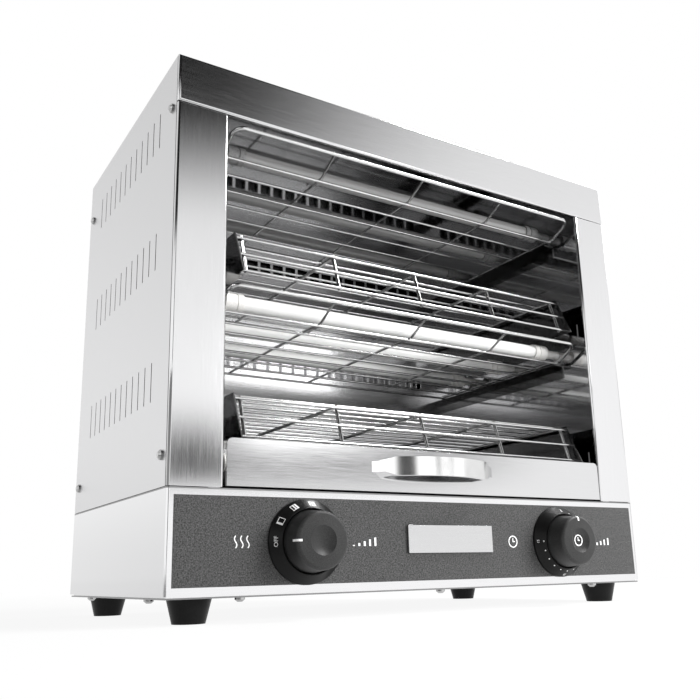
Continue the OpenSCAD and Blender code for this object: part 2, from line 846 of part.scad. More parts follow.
module upper_tubes() {
    tubes(bank_z[2]);
}

module middle_tubes() {
    tubes(bank_z[1]);
}

module lower_tubes() {
    tubes(bank_z[0]);
}

module upper_tube_caps() {
    tube_caps(bank_z[2]);
}

module middle_tube_caps() {
    tube_caps(bank_z[1]);
}

module lower_tube_caps() {
    tube_caps(bank_z[0]);
}

module heating_cores() {
    color("sienna") in_body()
        for (z = bank_z) for (y = tube_y) bar_along_x([-tube_end_x, tube_end_x], y, z, core_d);
}

module tube_studs() {
    color("gray") in_body() both_sides()
        for (z = bank_z) for (y = tube_y) bar_along_x([tube_end_x, nut_x[1] + bar_t], y, z, stud_d);
}

module stud_nuts() {
    color("gray") in_body() both_sides()
        for (z = bank_z)
            for (y = tube_y) difference() {
                translate([nut_x[0], y, z]) rotate([0, 90, 0]) cylinder(d = nut_d, h = nut_t, $fn = 6);
                bar_along_x([nut_x[0] - 1, nut_x[1] + 1], y, z, stud_d + 2 * seat_gap);
            }
}

// One bar for each bank on the switched right side, and a comb that joins the banks on the left
module bus_bars() {
    start_y = tube_y[0] - bar_w / 2;
    color("goldenrod") in_body() difference() {
        union() {
            for (bank = [0 : 2])
                slab(bar_x, [start_y, lead_y[bank] + bar_w / 2], span(bank_z[bank], bar_w));
            mirror([1, 0, 0]) {
                for (z = bank_z) slab(bar_x, [start_y, last_tube_y + bar_w / 2], span(z, bar_w));
                slab(bar_x, span(link_y, bar_w), [bank_z[0] - bar_w / 2, bank_z[2] + bar_w / 2]);
            }
        }
        both_sides()
            for (z = bank_z)
                for (y = tube_y) bar_along_x([bar_x[0] - 1, bar_x[1] + 1], y, z, stud_d + 2 * seat_gap);
    }
}

// Leads from the bus bars to the rotary switch and to the terminal block
module element_leads() {
    switch_y = sheet + switch_d;
    color("firebrick") in_body() {
        for (bank = [0 : 2]) {
            turn_x = (1 - bank) * lead_pitch + heat_x;
            wire([
                [lead_x, lead_y[bank], bank_z[bank]], [lead_x, lead_y[bank], lead_run_z],
                [turn_x, lead_y[bank], lead_run_z], [turn_x, switch_y, lead_run_z]
            ], lead_d);
        }
        wire([
            [-lead_x, link_y, bank_z[0]], [-lead_x, link_y, link_run_z],
            [inlet_x, link_y, link_run_z], [inlet_x, block_y, link_run_z]
        ], lead_d);
    }
}

// Leads from the terminal block to the timer and from the timer to the rotary switch
module control_leads() {
    supply_x = timer_x + timer_w / 2 - 2 * lead_d;
    color("darkblue") in_body() {
        bar_along_y(supply_x, [sheet + timer_d, block_y], base_z + block_h / 2, lead_d);
        bar_along_x([heat_x + switch_w / 2, timer_x - timer_w / 2], sheet + switch_d / 2, knob_z, lead_d);
    }
}

// Controls
module control_overlay() {
    overlay_x = half_w - overlay_border;
    color("dimgray") in_body() difference() {
        slab([-overlay_x, overlay_x], [-overlay_t, 0], [base_z + overlay_border, deck_z - overlay_border]);
        for (x = [heat_x, timer_x]) bar_along_y(x, [-2 * overlay_t, overlay_t], knob_z, bush_hole_d);
    }
}

module badge_plate() {
    color("silver") in_body()
        slab(span(badge_x, badge_w), [-overlay_t - badge_t, -overlay_t], span(knob_z + badge_rise, badge_h));
}

module dial(x) {
    rim_r = dial_hole / 2;
    color("black") in_body() on_panel(x) translate([0, 0, overlay_t]) rotate_extrude() polygon([
        [bush_hole_d / 2, 0], [dial_d / 2, 0], [dial_d / 2, dial_edge], [rim_r + dial_rim_w, dial_h],
        [rim_r, dial_h], [rim_r, dial_floor], [bush_hole_d / 2, dial_floor]
    ]);
}

module heat_dial() {
    dial(heat_x);
}

module timer_dial() {
    dial(timer_x);
}

// Body behind the panel with a threaded bush through it, bored for the shaft
module control_body(x, wide, deep) {
    color("darkslategray") in_body() difference() {
        union() {
            slab(span(x, wide), [sheet, sheet + deep], span(knob_z, wide));
            bar_along_y(x, [-bush_front, 2 * sheet], knob_z, bush_d);
        }
        bar_along_y(x, [-bush_front - 1, shaft_back + run_gap], knob_z, shaft_d + 2 * shaft_gap);
    }
}

module heat_switch() {
    control_body(heat_x, switch_w, switch_d);
}

module timer_unit() {
    control_body(timer_x, timer_w, timer_d);
}

module bush_nuts() {
    color("gray") in_body()
        for (x = [heat_x, timer_x])
            on_panel(x) translate([0, 0, dial_front]) difference() {
                cylinder(d = bush_nut_d, h = bush_nut_t, $fn = 6);
                translate([0, 0, -1]) cylinder(d = bush_d + 2 * seat_gap, h = bush_nut_t + 2);
            }
}

// Outer shape of a grip along +Z from its foot
module grip_form() {
    edge_r = grip_edge_r;
    face_r = grip_face_d / 2;
    edge_z = grip_l - grip_crown;
    dimple_r = dimple_d / 2;
    ball_r = (dimple_r * dimple_r + dimple_depth * dimple_depth) / (2 * dimple_depth);
    difference() {
        rotate_extrude() union() {
            polygon([
                [0, 0], [grip_foot_d / 2, 0], [face_r, edge_z - edge_r],
                [face_r - edge_r, edge_z], [dimple_r, grip_l], [0, grip_l]
            ]);
            intersection() {
                translate([face_r - edge_r, edge_z - edge_r]) circle(r = edge_r);
                translate([face_r - edge_r, edge_z - edge_r]) square(edge_r);
            }
        }
        translate([0, 0, grip_l + ball_r - dimple_depth]) sphere(r = ball_r);
    }
}

// Space of the pointer inlay, along +X at the edge of a grip's face
module pointer_space() {
    translate([grip_face_d / 2 - pointer_l, -pointer_w / 2, grip_l - pointer_depth])
        cube([grip_foot_d, pointer_w, grip_l]);
}

// Grip with a hollow foot over the bush nut and a blind bore for the shaft
module grip(x, turn) {
    hollow_d = bush_nut_d + 6 * run_gap;
    bore_l = shaft_front - grip_back;
    color("black") in_body() on_panel(x) translate([0, 0, grip_back]) difference() {
        grip_form();
        rotate([0, 0, turn]) pointer_space();
        translate([0, 0, -1]) cylinder(d = hollow_d, h = grip_hollow + 1);
        translate([0, 0, -1]) cylinder(d = shaft_d + 2 * seat_gap, h = bore_l + 1);
    }
}

module pointer(x, turn) {
    color("white") in_body() on_panel(x) translate([0, 0, grip_back]) intersection() {
        grip_form();
        rotate([0, 0, turn]) pointer_space();
    }
}

module shaft(x) {
    color("gray") in_body() bar_along_y(x, [-shaft_front, shaft_back], knob_z, shaft_d);
}

module heat_knob() {
    grip(heat_x, 180);
}

module heat_pointer() {
    pointer(heat_x, 180);
}

module heat_shaft() {
    shaft(heat_x);
}

module timer_knob() {
    grip(timer_x, 90);
}

module timer_pointer() {
    pointer(timer_x, 90);
}

module timer_shaft() {
    shaft(timer_x);
}

// Power inlet and terminal block
module power_inlet() {
    shank_y = [body_d - sheet - inlet_inner, body_d];
    color("black") in_body() difference() {
        union() {
            bar_along_y(inlet_x, shank_y, knob_z, inlet_shank_d);
            translate([inlet_x, body_d, knob_z]) rotate([-90, 0, 0])
                cylinder(d1 = inlet_d, d2 = inlet_shank_d, h = inlet_reach);
        }
        bar_along_y(inlet_x, [shank_y[0] - 1, body_d + inlet_reach + 1], knob_z, inlet_bore_d);
    }
}

module terminal_block() {
    groove_pitch = block_w / 4;
    color("white") in_body() difference() {
        slab(span(inlet_x, block_w), [block_y, block_y + block_d], [floor_z, base_z + block_h]);
        for (i = [-1 : 1])
            translate([inlet_x + i * groove_pitch, block_y + block_d / 2, base_z + block_h])
                cube([block_groove, 2 * block_d, 2 * block_groove], center = true);
    }
}

// Racks
module rack_grid(z) {
    end_x = rack_x - sheet;
    first_y = rack_front_y + rack_wire_d;
    step = (rack_back_y - rack_wire_d - first_y) / (rack_wires - 1);
    color("lightgray") in_body() {
        for (i = [-rack_bars : rack_bars])
            bar_along_y(i * rack_bar_x / rack_bars, [rack_front_y, rack_back_y], z, rack_bar_d);
        for (i = [0 : rack_wires - 1])
            bar_along_x([-end_x, end_x], first_y + i * step, z + wire_rise, rack_wire_d);
    }
}

// Fence that hangs in front of the bars' ends and leans forward
module rack_fence(z) {
    end_x = rack_x - sheet;
    post_r = rack_bar_d / 2;
    post_x = [for (i = [-rack_bars : rack_bars]) i * rack_bar_x / rack_bars];
    lean = atan(fence_lean / fence_h);
    inset = fence_wire_inset / fence_h;
    top = [0, rack_front_y - post_r / cos(lean) - seat_gap, z + post_r];
    low = [0, top.y - fence_lean, z - fence_h + post_r];
    wire_off = (rack_bar_d + rack_wire_d) / 2 - weld;
    color("lightgray") in_body() {
        for (x = post_x) rod(top + [x, 0, 0], low + [x, 0, 0], rack_bar_d);
        for (share = [inset, 1 / 2, 1 - inset]) {
            place = top + share * (low - top);
            bar_along_x([-end_x, end_x], place.y - wire_off, place.z, rack_wire_d);
        }
    }
}

module rack_ends(z) {
    top = z + wire_rise + rack_wire_d / 2;
    low = z - fence_h;
    color("dimgray") in_body() both_sides()
        translate([rack_x, 0, 0]) rotate([0, -90, 0]) linear_extrude(sheet)
            polygon([[top, plate_top_y], [top, rack_back_y], [low, rack_back_y], [low, plate_low_y]]);
}

module upper_rack_grid() {
    rack_grid(rack_z[1]);
}

module upper_rack_fence() {
    rack_fence(rack_z[1]);
}

module upper_rack_ends() {
    rack_ends(rack_z[1]);
}

module lower_rack_grid() {
    rack_grid(rack_z[0]);
}

module lower_rack_fence() {
    rack_fence(rack_z[0]);
}

module lower_rack_ends() {
    rack_ends(rack_z[0]);
}

// Crumb tray
module crumb_tray() {
    inner_x = tray_x - sheet;
    inner_y = [2 * sheet, tray_back_y - sheet];
    color("silver") in_body() {
        difference() {
            slab([-tray_x, tray_x], [sheet, tray_back_y], [pan_z, pan_z + tray_wall_h]);
            slab([-inner_x, inner_x], inner_y, [pan_z + sheet, pan_z + 2 * tray_wall_h]);
        }
        both_sides() slab([tray_x - skid_w, tray_x], [skid_y, tray_back_y], [tray_z, pan_z + sheet / 2]);
    }
}

module tray_front() {
    wide = 2 * (mouth_x - tray_front_gap);
    straight = wide - 2 * tray_corner_r;
    side_h = tray_front_h - tray_corner_r;
    color("lightgray") in_body() translate([0, sheet, pan_z]) rotate([90, 0, 0]) linear_extrude(sheet) {
        translate([-wide / 2, 0]) square([wide, side_h]);
        translate([-straight / 2, 0]) square([straight, tray_front_h]);
        for (x = [-straight / 2, straight / 2]) translate([x, side_h]) circle(r = tray_corner_r);
    }
}

// Bow with solid ends, whose strap narrows towards them
module tray_handle() {
    end_x = handle_l / 2;
    mid_x = strap_mid_l / 2;
    taper_x = mid_x + strap_taper_l;
    end_z = strap_end_h / 2;
    mid_z = strap_h / 2;
    bow_r = (end_x * end_x + bow_reach * bow_reach) / (2 * bow_reach);
    color("silver") in_body() translate([handle_x, 0, tray_z + handle_rise]) intersection() {
        linear_extrude(2 * strap_h, center = true) difference() {
            intersection() {
                translate([0, bow_r - bow_reach]) circle(r = bow_r, $fn = 4 * $fn);
                translate([-end_x, -2 * bow_reach]) square([handle_l, 2 * bow_reach]);
            }
            intersection() {
                translate([0, bow_r - bow_reach]) circle(r = bow_r - strap_t, $fn = 4 * $fn);
                translate([-opening_l / 2, -2 * bow_reach]) square([opening_l, 4 * bow_reach]);
            }
        }
        rotate([90, 0, 0]) linear_extrude(4 * bow_reach, center = true) polygon([
            [-end_x, -end_z], [-taper_x, -end_z], [-mid_x, -mid_z],
            [mid_x, -mid_z], [taper_x, -end_z], [end_x, -end_z],
            [end_x, end_z], [taper_x, end_z], [mid_x, mid_z],
            [-mid_x, mid_z], [-taper_x, end_z], [-end_x, end_z]
        ]);
    }
}

base_shell();
base_bottom();
deck_plate();
control_overlay();
badge_plate();
feet();
foot_screws();
bottom_screws();
left_column();
right_column();
left_side_panel();
right_side_panel();
back_panel();
top_cover();
side_screws();
left_inner_wall();
right_inner_wall();
inner_back_wall();
ceiling_reflector();
guard_rails();
upper_guard();
middle_guard();
rack_runners();
upper_tubes();
middle_tubes();
lower_tubes();
upper_tube_caps();
middle_tube_caps();
lower_tube_caps();
heating_cores();
tube_studs();
stud_nuts();
bus_bars();
element_leads();
control_leads();
heat_dial();
timer_dial();
heat_switch();
timer_unit();
bush_nuts();
terminal_block();
power_inlet();
heat_knob();
heat_pointer();
heat_shaft();
timer_knob();
timer_pointer();
timer_shaft();
upper_rack_grid();
upper_rack_fence();
upper_rack_ends();
lower_rack_grid();
lower_rack_fence();
lower_rack_ends();
crumb_tray();
tray_front();
tray_handle();
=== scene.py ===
import math

import bmesh
import bpy
from mathutils import Matrix, Vector


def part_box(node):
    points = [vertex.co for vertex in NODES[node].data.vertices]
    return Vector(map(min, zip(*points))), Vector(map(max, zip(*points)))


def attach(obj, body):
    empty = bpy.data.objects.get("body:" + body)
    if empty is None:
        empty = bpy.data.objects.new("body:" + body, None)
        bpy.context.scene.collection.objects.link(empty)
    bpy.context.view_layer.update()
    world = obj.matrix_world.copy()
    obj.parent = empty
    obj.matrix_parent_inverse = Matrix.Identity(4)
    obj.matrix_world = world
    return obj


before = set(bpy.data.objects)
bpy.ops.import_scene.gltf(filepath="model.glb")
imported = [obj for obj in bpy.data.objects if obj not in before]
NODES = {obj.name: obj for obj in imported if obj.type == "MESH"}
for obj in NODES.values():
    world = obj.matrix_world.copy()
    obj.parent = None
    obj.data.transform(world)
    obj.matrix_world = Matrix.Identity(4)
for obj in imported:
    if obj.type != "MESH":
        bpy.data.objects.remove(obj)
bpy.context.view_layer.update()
SCENE = bpy.context.scene
MM = 0.001

# Places that the marks and lamps share with the solids, in metres
FRONT_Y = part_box("base_shell")[0].y
OVERLAY_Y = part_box("control_overlay")[0].y
HEAT = (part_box("heat_dial")[0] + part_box("heat_dial")[1]) / 2
TIMER = (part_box("timer_dial")[0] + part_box("timer_dial")[1]) / 2
AIM = Vector((0, FRONT_Y, 0.2))

# Sloping face of both dials: radius and height above the overlay at its foot and rim, in millimetres
DIAL_FOOT = (29.0, 1.6)
DIAL_RIM = (22.8, 9.0)

# Scales of the dials: degrees clockwise from the top, and how many minutes the timer runs
HEAT_OFF = 270
HEAT_STEP = 31.5
MINUTE = 18
MINUTES = 15

# Height of printed marks above their surface, and of the grain in a material
PRINT_H = 0.12 * MM
GRAIN_H = 0.05 * MM

# How fast a grain changes along X, Y and Z, per metre
BRUSHED_ACROSS = (40, 2600, 2600)
BRUSHED_UPRIGHT = (2600, 2600, 40)
ROLLED_ACROSS = (60, 1500, 1500)
ROLLED_DEEP = (1500, 60, 1500)
POLISHED_ACROSS = (20, 900, 900)
POLISHED_DEEP = (900, 20, 900)
DRAWN_TUBE = (12, 400, 400)


# Camera
def add_camera():
    """A camera fitted to the cabinet's edges in the photograph."""
    right = Vector((0.848494, -0.52862, -0.024881))
    down = Vector((0.103192, 0.211381, -0.971941))
    ahead = Vector((0.519047, 0.822118, 0.233904))
    eye = Vector((-0.39046, FRONT_Y - 0.50005, 0.0288))
    data = bpy.data.cameras.new("camera")
    data.sensor_fit = "HORIZONTAL"
    data.sensor_width = 36
    data.lens = 41.451
    data.shift_x = -0.00983
    data.shift_y = 0.04329
    data.clip_start = 0.01
    camera = bpy.data.objects.new("camera", data)
    SCENE.collection.objects.link(camera)
    turn = Matrix((right, -down, -ahead)).transposed().to_4x4()
    camera.matrix_world = Matrix.Translation(eye) @ turn
    SCENE.camera = camera


# Node helpers
class Tree:
    """Short calls that add nodes to a node tree; a value is a socket or a number."""

    def __init__(self, tree):
        self.tree = tree

    def add(self, kind, **values):
        node = self.tree.nodes.new(kind)
        for key, value in values.items():
            name = key.replace("_", " ").title()
            if name in node.inputs:
                node.inputs[name].default_value = value
            else:
                setattr(node, key, value)
        return node

    def link(self, source, target):
        self.tree.links.new(source, target)

    def axes(self, source):
        """Sockets X, Y and Z of one of the texture coordinates."""
        coords = self.add("ShaderNodeTexCoord")
        split = self.add("ShaderNodeSeparateXYZ")
        self.link(coords.outputs[source], split.inputs[0])
        return split.outputs

    def maths(self, operation, *values):
        node = self.add("ShaderNodeMath", operation=operation)
        for socket, value in zip(node.inputs, values):
            if isinstance(value, (int, float)):
                socket.default_value = value
            else:
                self.link(value, socket)
        return node.outputs[0]

    def product(self, first, *others):
        for other in others:
            first = self.maths("MULTIPLY", first, other)
        return first

    def rest(self, value):
        """What the value lacks to 1."""
        return self.maths("SUBTRACT", 1.0, value)

    def between(self, value, low, high, start=0.3, end=0.7, course="LINEAR"):
        """A number from low to high as value goes from start to end."""
        ranged = self.add("ShaderNodeMapRange", from_min=start, from_max=end, to_min=low, to_max=high)
        ranged.interpolation_type = course
        self.link(value, ranged.inputs["Value"])
        return ranged.outputs["Result"]


class Shader(Tree):
    """A material with a Principled shader."""

    def __init__(self, name):
        self.mat = bpy.data.materials.new(name)
        self.mat.use_nodes = True
        super().__init__(self.mat.node_tree)
        self.bsdf = self.tree.nodes["Principled BSDF"]

    def set(self, **values):
        for key, value in values.items():
            self.bsdf.inputs[key.replace("_", " ").title()].default_value = value

    def noise(self, scale, detail=3.0, roughness=0.6):
        """Noise over the object's own coordinates; scale is a number or one for each axis, per metre."""
        coords = self.add("ShaderNodeTexCoord")
        mapping = self.add("ShaderNodeMapping")
        mapping.inputs["Scale"].default_value = scale if hasattr(scale, "__len__") else (scale,) * 3
        texture = self.add("ShaderNodeTexNoise", scale=1.0, detail=detail, roughness=roughness)
        self.link(coords.outputs["Object"], mapping.inputs["Vector"])
        self.link(mapping.outputs["Vector"], texture.inputs["Vector"])
        return texture.outputs["Fac"]

    def shades(self, value, dark, light, start=0.3, end=0.7):
        """A colour from dark to light as value goes from start to end."""
        ramp = self.add("ShaderNodeValToRGB")
        ramp.color_ramp.elements[0].position = start
        ramp.color_ramp.elements[0].color = (*dark, 1)
        ramp.color_ramp.elements[1].position = end
        ramp.color_ramp.elements[1].color = (*light, 1)
        self.link(value, ramp.inputs["Fac"])
        self.link(ramp.outputs["Color"], self.bsdf.inputs["Base Color"])

    def rough(self, value, low, high):
        self.link(self.between(value, low, high), self.bsdf.inputs["Roughness"])

    def bump(self, value, strength):
        bump = self.add("ShaderNodeBump", strength=strength, distance=GRAIN_H)
        self.link(value, bump.inputs["Height"])
        self.link(bump.outputs["Normal"], self.bsdf.inputs["Normal"])

    def darken(self, where, share):
        """Keeps only a share of the colour where the mask is 1."""
        colour = self.bsdf.inputs["Base Color"].links[0].from_socket
        scaled = self.add("ShaderNodeVectorMath", operation="SCALE")
        self.link(colour, scaled.inputs[0])
        self.link(self.between(where, 1.0, share, 0.0, 1.0), scaled.inputs["Scale"])
        self.link(scaled.outputs["Vector"], self.bsdf.inputs["Base Color"])

    def behind(self, value, face, near, far):
        """A mask that goes from 0 to 1 between two depths behind an outer face."""
        return self.between(value, 1.0, 0.0, face - far, face - near)


# Materials
def grey(value, tint=0.0):
    return (value, value, value * (1 + tint))


def steel(name, shade, rough, spread, grain, strength=0.02, change=0.03):
    """Steel with drawn lines, whose colour and roughness vary by change and spread."""
    tint = 0.01
    shader = Shader(name)
    lines = shader.noise(grain, detail=4.0, roughness=0.7)
    shader.set(metallic=1.0)
    shader.shades(lines, grey(shade * (1 - change), tint), grey(min(1, shade * (1 + change)), tint))
    shader.rough(lines, rough - spread, rough + spread)
    shader.bump(lines, strength)
    return shader


def raw_inside(shader, node):
    """Painted shade: darkens a folded sheet on the faces that look into the cabinet, where they lie in shade.
    """
    axes = shader.axes("Object")
    masks = []
    for axis, start, end in zip("XYZ", *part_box(node)):
        away = shader.maths("ABSOLUTE", shader.maths("SUBTRACT", axes[axis], (start + end) / 2))
        masks.append(shader.behind(away, (end - start) / 2, near=0.5 * MM, far=0.7 * MM))
    shader.darken(shader.product(*masks), share=0.12)
    return shader


def sooty(shader, outside, height):
    """Painted shade: darkens the back panel above a height, on the side that looks into the cabinet, where it
    lies in shade behind the windows.
    """
    fade = 20 * MM
    axes = shader.axes("Object")
    inside = shader.behind(axes["Y"], outside, near=0.5 * MM, far=0.7 * MM)
    upper_shade = shader.between(axes["Z"], 0.0, 1.0, height - fade, height + fade)
    shader.darken(shader.product(inside, upper_shade), share=0.08)
    return shader


def cut_edges(shader, outside):
    """Painted shade: darkens a side panel behind its outer face, so in its slits and along its seams, where
    shade falls.
    """
    away = shader.maths("ABSOLUTE", shader.axes("Object")["X"])
    shader.darken(shader.behind(away, outside, near=0.08 * MM, far=0.2 * MM), share=0.1)
    return shader


def plated(name, shade, rough, spread, scale, tint=(1, 1, 1)):
    """Bright metal with faint cloudy patches."""
    patch = 0.94
    shader = Shader(name)
    cloud = shader.noise(scale)
    shader.set(metallic=1.0)
    shader.shades(cloud, [shade * patch * part for part in tint], [shade * part for part in tint])
    shader.rough(cloud, rough, rough + spread)
    return shader


def moulded(name, dark, light, rough, spread, scale, strength=0.15, shine=0.5):
    """Plastic, rubber, paint or ceramic with a fine grain."""
    shader = Shader(name)
    shader.bsdf.inputs["Specular IOR Level"].default_value = shine
    grain = shader.noise(scale, detail=2.0)
    shader.shades(grain, dark, light)
    shader.rough(grain, rough, rough + spread)
    shader.bump(grain, strength)
    return shader


def speckled(name):
    """Dark printed film with light specks."""
    shader = Shader(name)
    specks = shader.noise(1000, detail=3.0, roughness=0.7)
    shader.shades(specks, dark=grey(0.004), light=grey(0.11), start=0.36, end=0.7)
    shader.set(roughness=0.55)
    shader.bump(specks, strength=0.1)
    return shader


def quartz(name, dark, light):
    """Milky quartz glass."""
    tint = -0.01
    shader = Shader(name)
    milk = shader.noise(DRAWN_TUBE, detail=2.0)
    shader.shades(milk, grey(dark, tint), grey(light, tint))
    shader.rough(milk, low=0.12, high=0.22)
    shader.set(coat_weight=0.4)
    return shader


def make_steels():
    brushed = {"spread": 0.03, "grain": BRUSHED_ACROSS, "strength": 0.01}
    upright = {"spread": 0.03, "grain": BRUSHED_UPRIGHT, "strength": 0.01}
    polished = {"grain": POLISHED_ACROSS, "strength": 0.004}
    cover = steel("brushed_across", shade=0.62, rough=0.12, **brushed)
    side = steel("satin", shade=0.62, rough=0.36, spread=0.05, grain=ROLLED_DEEP)
    back = steel("rolled", shade=0.62, rough=0.16, spread=0.04, grain=ROLLED_DEEP, strength=0.01)
    # Painted shade: the inner side walls are a darker copy of the mirror steel, for the shade inside the
    # cabinet
    inner = steel(
        "mirror_sides_shaded", shade=0.52, rough=0.06, spread=0.02, grain=POLISHED_DEEP, strength=0.004, change=0.02
    )
    return [
        (raw_inside(cover, "top_cover"), ["top_cover"]),
        (steel("brushed_upright", shade=0.62, rough=0.09, **upright), ["left_column", "right_column"]),
        (steel("brushed_base", shade=0.64, rough=0.09, **brushed), ["base_shell"]),
        (steel("brushed_tray", shade=0.56, rough=0.12, **brushed), ["tray_front"]),
        (cut_edges(side, outside=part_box("right_side_panel")[1].x), ["left_side_panel", "right_side_panel"]),
        (steel("mill", shade=0.25, rough=0.36, spread=0.05, grain=ROLLED_ACROSS), [
            "deck_plate", "base_bottom", "crumb_tray",
        ]),
        (sooty(back, outside=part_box("back_panel")[1].y, height=0.27), ["back_panel"]),
        (steel("mirror", shade=0.96, rough=0.24, spread=0.03, change=0.02, **polished), ["inner_back_wall"]),
        (inner, ["left_inner_wall", "right_inner_wall"]),
        # Painted shade: the ceiling reflector is a darker copy of the mirror steel, for the shade under the
        # header
        (steel("mirror_top_shaded", shade=0.38, rough=0.07, spread=0.03, **polished), ["ceiling_reflector"]),
        (steel("badge", shade=0.52, rough=0.16, spread=0.04, grain=BRUSHED_ACROSS, strength=0.004), [
            "badge_plate",
        ]),
    ]


def make_platings():
    return [
        (plated("wire", shade=0.58, rough=0.07, spread=0.06, scale=160), [
            "upper_guard", "middle_guard", "upper_rack_grid", "upper_rack_fence", "lower_rack_grid",
            "lower_rack_fence",
        ]),
        (plated("chrome", shade=0.86, rough=0.14, spread=0.03, scale=60), ["tray_handle"]),
        (plated("zinc", shade=0.6, rough=0.2, spread=0.12, scale=900), [
            "foot_screws", "tube_studs", "stud_nuts", "bush_nuts", "heat_shaft", "timer_shaft",
        ]),
        (plated("bright_zinc", shade=0.42, rough=0.06, spread=0.08, scale=900), [
            "bottom_screws", "side_screws",
        ]),
        (plated("brass", shade=0.75, rough=0.25, spread=0.1, scale=300, tint=(1, 0.8, 0.45)), ["bus_bars"]),
        # Partly painted shade: the guard rails are coloured dark for the shade they stand in, and the runners
        # and rack ends share this dark plating
        (plated("dark_shaded_steel", shade=0.13, rough=0.08, spread=0.1, scale=120), [
            "guard_rails", "rack_runners", "upper_rack_ends", "lower_rack_ends",
        ]),
    ]


def make_mouldings(paint):
    black = grey(0.004), grey(0.008)
    charcoal = grey(0.01), grey(0.032)
    red = (0.3, 0.03, 0.02), (0.5, 0.07, 0.05)
    return [
        (speckled("overlay"), ["control_overlay"]),
        (moulded("black", *black, rough=0.3, spread=0.1, scale=1800, shine=0.14), [
            "heat_dial", "timer_dial", "heat_switch", "timer_unit", "power_inlet",
        ]),
        (moulded("knob", *charcoal, rough=0.45, spread=0.1, scale=1500, strength=0.5, shine=0.4), [
            "heat_knob", "timer_knob",
        ]),
        (moulded("rubber", *black, rough=0.3, spread=0.2, scale=900, shine=0.15), ["feet"]),
        (paint, ["heat_pointer", "timer_pointer"]),
        (moulded("ceramic", (0.76, 0.75, 0.73), (0.88, 0.87, 0.85), rough=0.3, spread=0.2, scale=700), [
            "middle_tube_caps", "lower_tube_caps", "terminal_block",
        ]),
        # Painted shade: the upper tubes' caps are a darker copy of the ceramic, for the shade under the
        # header
        (moulded("shaded_ceramic", grey(0.15), grey(0.24), rough=0.25, spread=0.2, scale=700), [
            "upper_tube_caps",
        ]),
        (quartz("milky_quartz", dark=0.8, light=0.87), ["middle_tubes"]),
        (quartz("quartz", dark=0.93, light=0.98), ["lower_tubes"]),
        # Painted shade: the upper tubes are a darker copy of the quartz, for the shade under the header
        (quartz("shaded_quartz", dark=0.24, light=0.3), ["upper_tubes"]),
        (moulded("core", (0.2, 0.16, 0.13), (0.34, 0.3, 0.27), rough=0.4, spread=0.2, scale=900), [
            "heating_cores",
        ]),
        (moulded("sleeve", *red, rough=0.7, spread=0.2, scale=1500, strength=0.4), [
            "element_leads", "control_leads",
        ]),
    ]


def dress(materials):
    for shader, names in materials:
        for name in names:
            slots = NODES[name].data.materials
            slots.clear()
            slots.append(shader.mat)


def soften_edges(width, names):
    """Rounds the edges of folded sheet, so that they catch the light."""
    for name in names:
        weld = NODES[name].modifiers.new("weld", "WELD")
        weld.merge_threshold = 0.01 * MM
        bevel = NODES[name].modifiers.new("bevel", "BEVEL")
        bevel.width = width
        bevel.segments = 2
        bevel.limit_method = "ANGLE"
        bevel.angle_limit = math.radians(40)
        bevel.harden_normals = True


# Printed marks, with sizes in millimetres
def new_object(name, mesh, mat, body):
    obj = bpy.data.objects.new(name, mesh)
    SCENE.collection.objects.link(obj)
    obj.data.materials.clear()
    obj.data.materials.append(mat)
    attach(obj, body)


def dial_place(dial, clock, radius):
    """Matrix on a dial's sloping face: X along the scale, Y outwards, Z off the face."""
    run, rise = DIAL_FOOT[0] - DIAL_RIM[0], DIAL_RIM[1] - DIAL_FOOT[1]
    height = DIAL_FOOT[1] + (DIAL_FOOT[0] - radius) / run * rise
    turn = math.radians(clock)
    out = Vector((math.sin(turn), 0, math.cos(turn)))
    slope = (out * run + Vector((0, 1, 0)) * rise).normalized()
    normal = (out * rise - Vector((0, 1, 0)) * run).normalized()
    along = slope.cross(normal)
    centre = Vector((dial.x, OVERLAY_Y - height * MM, dial.z)) + out * radius * MM
    turn_matrix = Matrix((along, slope, normal)).transposed().to_4x4()
    return Matrix.Translation(centre) @ turn_matrix


def panel_place(x, z, y):
    """Matrix on an upright face that looks forward: X to the right, Y up, Z off the face."""
    axes = Matrix((Vector((1, 0, 0)), Vector((0, 0, 1)), Vector((0, -1, 0)))).transposed().to_4x4()
    return Matrix.Translation(Vector((x, y, z))) @ axes


def raise_print(bm, place, faces):
    """Gives flat printed faces, which lie a little below the surface, their thickness."""
    top = bmesh.ops.extrude_face_region(bm, geom=faces)["geom"]
    lift = place.to_3x3() @ Vector((0, 0, 1.5 * PRINT_H))
    bmesh.ops.translate(bm, vec=lift, verts=[v for v in top if isinstance(v, bmesh.types.BMVert)])


def flat_point(bm, place, x, y):
    return bm.verts.new(place @ Vector((x * MM, y * MM, -0.5 * PRINT_H)))


def circle(radius, steps):
    turns = [i * math.tau / steps for i in range(steps)]
    return [(radius * math.cos(turn), radius * math.sin(turn)) for turn in turns]


def add_prism(bm, place, outline):
    """A flat printed shape on the face at place."""
    raise_print(bm, place, [bm.faces.new([flat_point(bm, place, x, y) for x, y in outline])])


def add_line(bm, place, points, width, closed=False):
    """A printed line of even width through the points, mitred at its corners."""
    points = [Vector(point) for point in points]
    count = len(points)
    left, right = [], []
    for i, point in enumerate(points):
        before = points[i - 1] if i or closed else None
        after = points[(i + 1) % count] if i < count - 1 or closed else None
        runs = [(b - a).normalized() for a, b in ((before, point), (point, after)) if a and b]
        sides = [Vector((-run.y, run.x)) for run in runs]
        mitre = sum(sides, Vector((0, 0))).normalized()
        reach = mitre * width / 2 / mitre.dot(sides[0])
        left.append(flat_point(bm, place, *(point + reach)))
        right.append(flat_point(bm, place, *(point - reach)))
    faces = []
    for i in range(count if closed else count - 1):
        k = (i + 1) % count
        faces.append(bm.faces.new([right[i], right[k], left[k], left[i]]))
    raise_print(bm, place, faces)


def finish_mesh(bm, name):
    bmesh.ops.recalc_face_normals(bm, faces=bm.faces)
    mesh = bpy.data.meshes.new(name)
    bm.to_mesh(mesh)
    bm.free()
    return mesh


